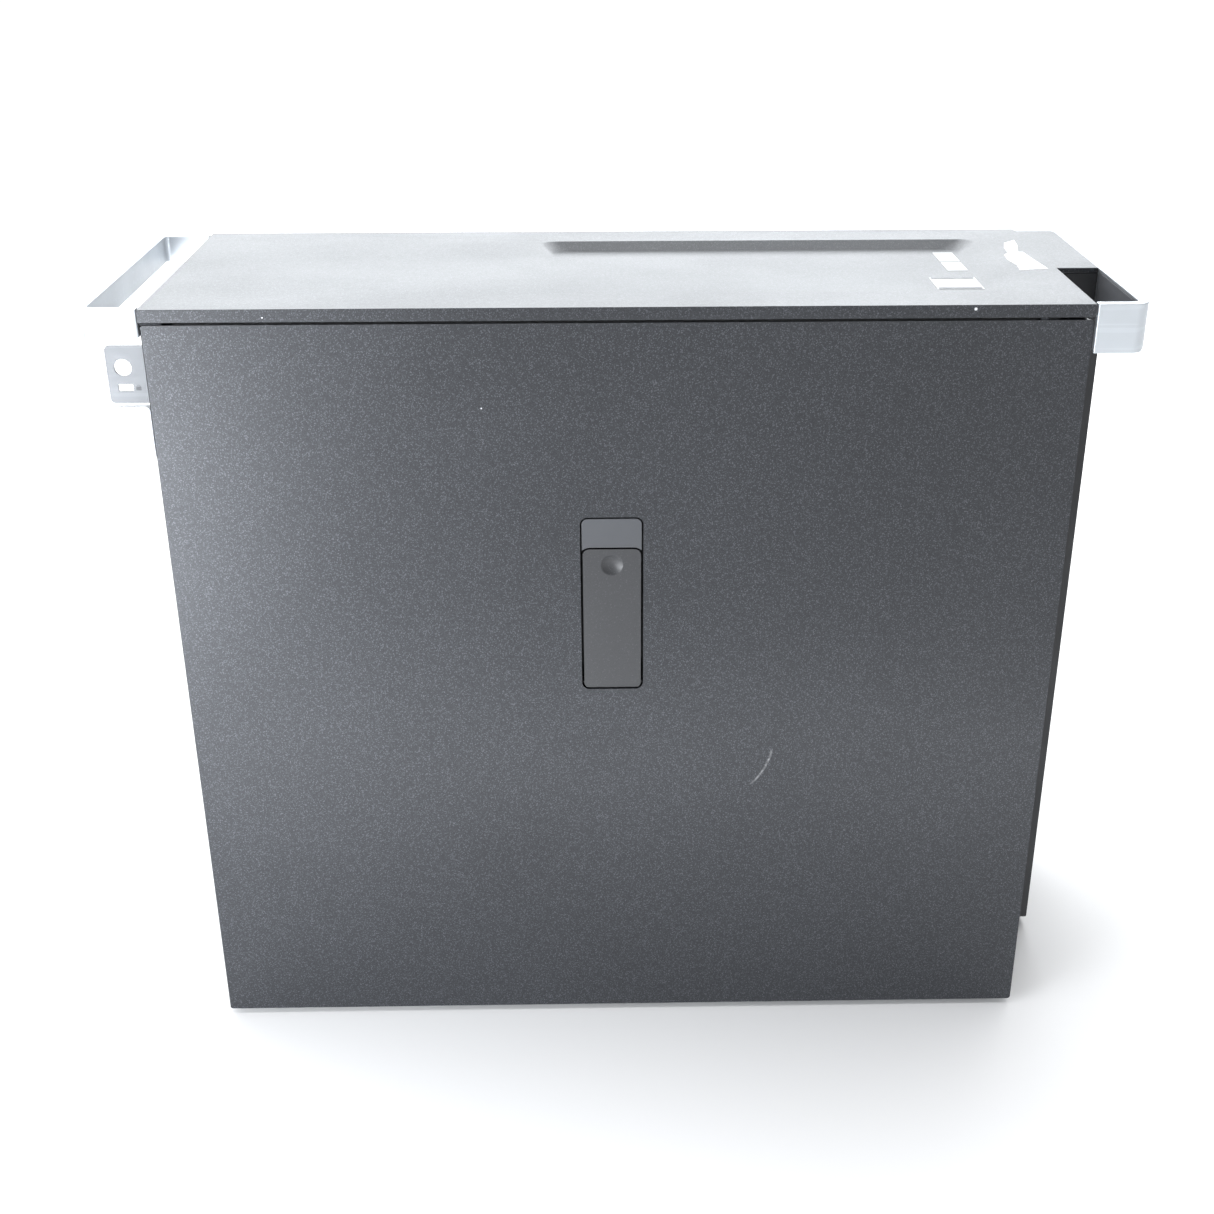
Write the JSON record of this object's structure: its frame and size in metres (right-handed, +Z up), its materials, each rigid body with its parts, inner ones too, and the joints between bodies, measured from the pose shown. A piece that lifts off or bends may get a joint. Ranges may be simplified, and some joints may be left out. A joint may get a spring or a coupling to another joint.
{
  "type": "desktop computer tower",
  "caption": "Workstation tower computer with carry handles at the front and rear of its top and a tilting side cover with a pull latch.",
  "frame": {"origin": "middle of the overall box, on the floor under the feet", "axes": "front faces -Y, the access side with the latch faces -X, +Z up"},
  "size_m": [0.1764, 0.5182, 0.4179],
  "materials": {
    "cover_paint": "satin, fine metallic fleck",
    "latch_paint": "satin",
    "tab_plastic": "smooth satin",
    "silver": "satin silver",
    "dark_plastic": "fine texture",
    "grille_black": "semi-matt",
    "power_button": "satin",
    "port_black": "matt",
    "drive_black": "fine texture",
    "zinc_steel": "zinc plated",
    "tab_steel": "plated, fine scratches",
    "bright_steel": "bright",
    "foot_rubber": "matt",
    "light_plastic": "smooth",
    "pull_plastic": "smooth",
    "board_green": "solder mask",
    "card_black": "solder mask",
    "socket_black": "matt",
    "standoff_brass": "turned",
    "fin_aluminium": "plain",
    "fan_black": "satin",
    "lead_black": "sleeved"
  },
  "bodies": {
    "chassis": {"base_pan": "zinc_steel", "board_sockets": "socket_black", "board_standoffs": "standoff_brass", "board_tray": "zinc_steel", "card_board": "card_black", "card_shroud": "card_black", "case_screws": "bright_steel", "column_grille": "grille_black", "cooler": "fin_aluminium", "disc_drive_case": "zinc_steel", "drive_cage": "zinc_steel", "drive_carriers": "drive_black", "fan_frames": "fan_black", "far_side_cover": "cover_paint", "front_column": "dark_plastic", "front_grip_liner": "dark_plastic", "front_handle": "silver", "front_io_board": "board_green", "front_module_trim": "silver", "front_ports": "port_black", "front_wall": "zinc_steel", "hard_drives": "bright_steel", "inner_leads": "lead_black", "io_shield": "bright_steel", "lock_tab": "tab_steel", "main_board": "board_green", "memory_modules": "card_black", "rear_handle": "silver", "rear_ports": "bright_steel", "rear_wall": "zinc_steel", "recess_bezel": "dark_plastic", "recess_grille": "grille_black", "retainer_pin": "bright_steel", "rubber_feet": "foot_rubber", "slot_brackets": "zinc_steel", "supply_dock": "board_green", "supply_shelf": "zinc_steel", "top_cover": "cover_paint", "top_frame": "zinc_steel"},
    "side_cover": {"side_cover": "cover_paint", "latch_housing": "dark_plastic", "latch_spring": "bright_steel"},
    "latch_lever": {"latch_lever": "latch_paint"},
    "latch_button": {"latch_button": "tab_plastic"},
    "power_button": {"power_button": "power_button"},
    "disc_tray": {"disc_tray": "drive_black"},
    "eject_button": {"eject_button": "drive_black"},
    "ribbed_catch": {"ribbed_catch": "light_plastic"},
    "slot_retainer": {"slot_retainer": "light_plastic"},
    "power_supply": {"supply_case": "zinc_steel", "supply_fan_frame": "fan_black", "supply_inlet": "dark_plastic", "supply_handle": "pull_plastic"},
    "supply_release": {"supply_release": "pull_plastic"},
    "supply_fan_rotor": {"supply_fan_rotor": "fan_black"},
    "cooler_fan_rotor": {"cooler_fan_rotor": "fan_black"},
    "rear_fan_rotor": {"rear_fan_rotor": "fan_black"},
    "upper_fan_rotor": {"upper_fan_rotor": "fan_black"},
    "lower_fan_rotor": {"lower_fan_rotor": "fan_black"},
    "card_rotor": {"card_rotor": "fan_black"}
  },
  "joints": [
    {"name": "cover_tilt", "type": "hinge", "parent": "chassis", "child": "side_cover", "pos_m": [-0.08765, 0, 0.004], "axis": [0, -1, 0], "range_deg": [0, 60]},
    {"name": "lever_pull", "type": "hinge", "parent": "side_cover", "child": "latch_lever", "pos_m": [-0.085, 0.0029, 0.216], "axis": [0, -1, 0], "range_deg": [0, 50]},
    {"name": "latch_push", "type": "slide", "parent": "side_cover", "child": "latch_button", "axis": [1, 0, 0], "range_m": [0, 0.0025], "stiffness_N_per_m": 400, "springref_m": -0.002},
    {"name": "power_press", "type": "slide", "parent": "chassis", "child": "power_button", "axis": [0, 1, 0], "range_m": [0, 0.0012], "stiffness_N_per_m": 500, "springref_m": -0.001},
    {"name": "disc_tray_slide", "type": "slide", "parent": "chassis", "child": "disc_tray", "axis": [0, -1, 0], "range_m": [0, 0.11]},
    {"name": "eject_press", "type": "slide", "parent": "disc_tray", "child": "eject_button", "axis": [0, 1, 0], "range_m": [0, 0.0008], "stiffness_N_per_m": 400, "springref_m": -0.001},
    {"name": "catch_slide", "type": "slide", "parent": "chassis", "child": "ribbed_catch", "axis": [0, 0, -1], "range_m": [0, 0.005], "stiffness_N_per_m": 200, "springref_m": -0.003},
    {"name": "retainer_swing", "type": "hinge", "parent": "chassis", "child": "slot_retainer", "pos_m": [-0.061, 0.23225, 0.178], "axis": [0, 0, 1], "range_deg": [0, 100]},
    {"name": "supply_slide", "type": "slide", "parent": "chassis", "child": "power_supply", "axis": [0, 1, 0], "range_m": [0, 0.17]},
    {"name": "supply_release_slide", "type": "slide", "parent": "power_supply", "child": "supply_release", "axis": [-1, 0, 0], "range_m": [0, 0.004], "stiffness_N_per_m": 300, "springref_m": -0.002},
    {"name": "supply_fan_spin", "type": "hinge", "parent": "power_supply", "child": "supply_fan_rotor", "pos_m": [-0.042, 0.215, 0.049], "axis": [0, 1, 0], "continuous": true},
    {"name": "cooler_fan_spin", "type": "hinge", "parent": "chassis", "child": "cooler_fan_rotor", "pos_m": [0.003, 0.082, 0.332], "axis": [0, 1, 0], "continuous": true},
    {"name": "rear_fan_spin", "type": "hinge", "parent": "chassis", "child": "rear_fan_rotor", "pos_m": [-0.03, 0.214, 0.352], "axis": [0, 1, 0], "continuous": true},
    {"name": "upper_fan_spin", "type": "hinge", "parent": "chassis", "child": "upper_fan_rotor", "pos_m": [-0.034, -0.215, 0.306], "axis": [0, 1, 0], "continuous": true},
    {"name": "lower_fan_spin", "type": "hinge", "parent": "chassis", "child": "lower_fan_rotor", "pos_m": [-0.02, -0.215, 0.18], "axis": [0, 1, 0], "continuous": true},
    {"name": "card_fan_spin", "type": "hinge", "parent": "chassis", "child": "card_rotor", "pos_m": [0.002, 0.118, 0.185], "axis": [0, 0, 1], "continuous": true}
  ]
}
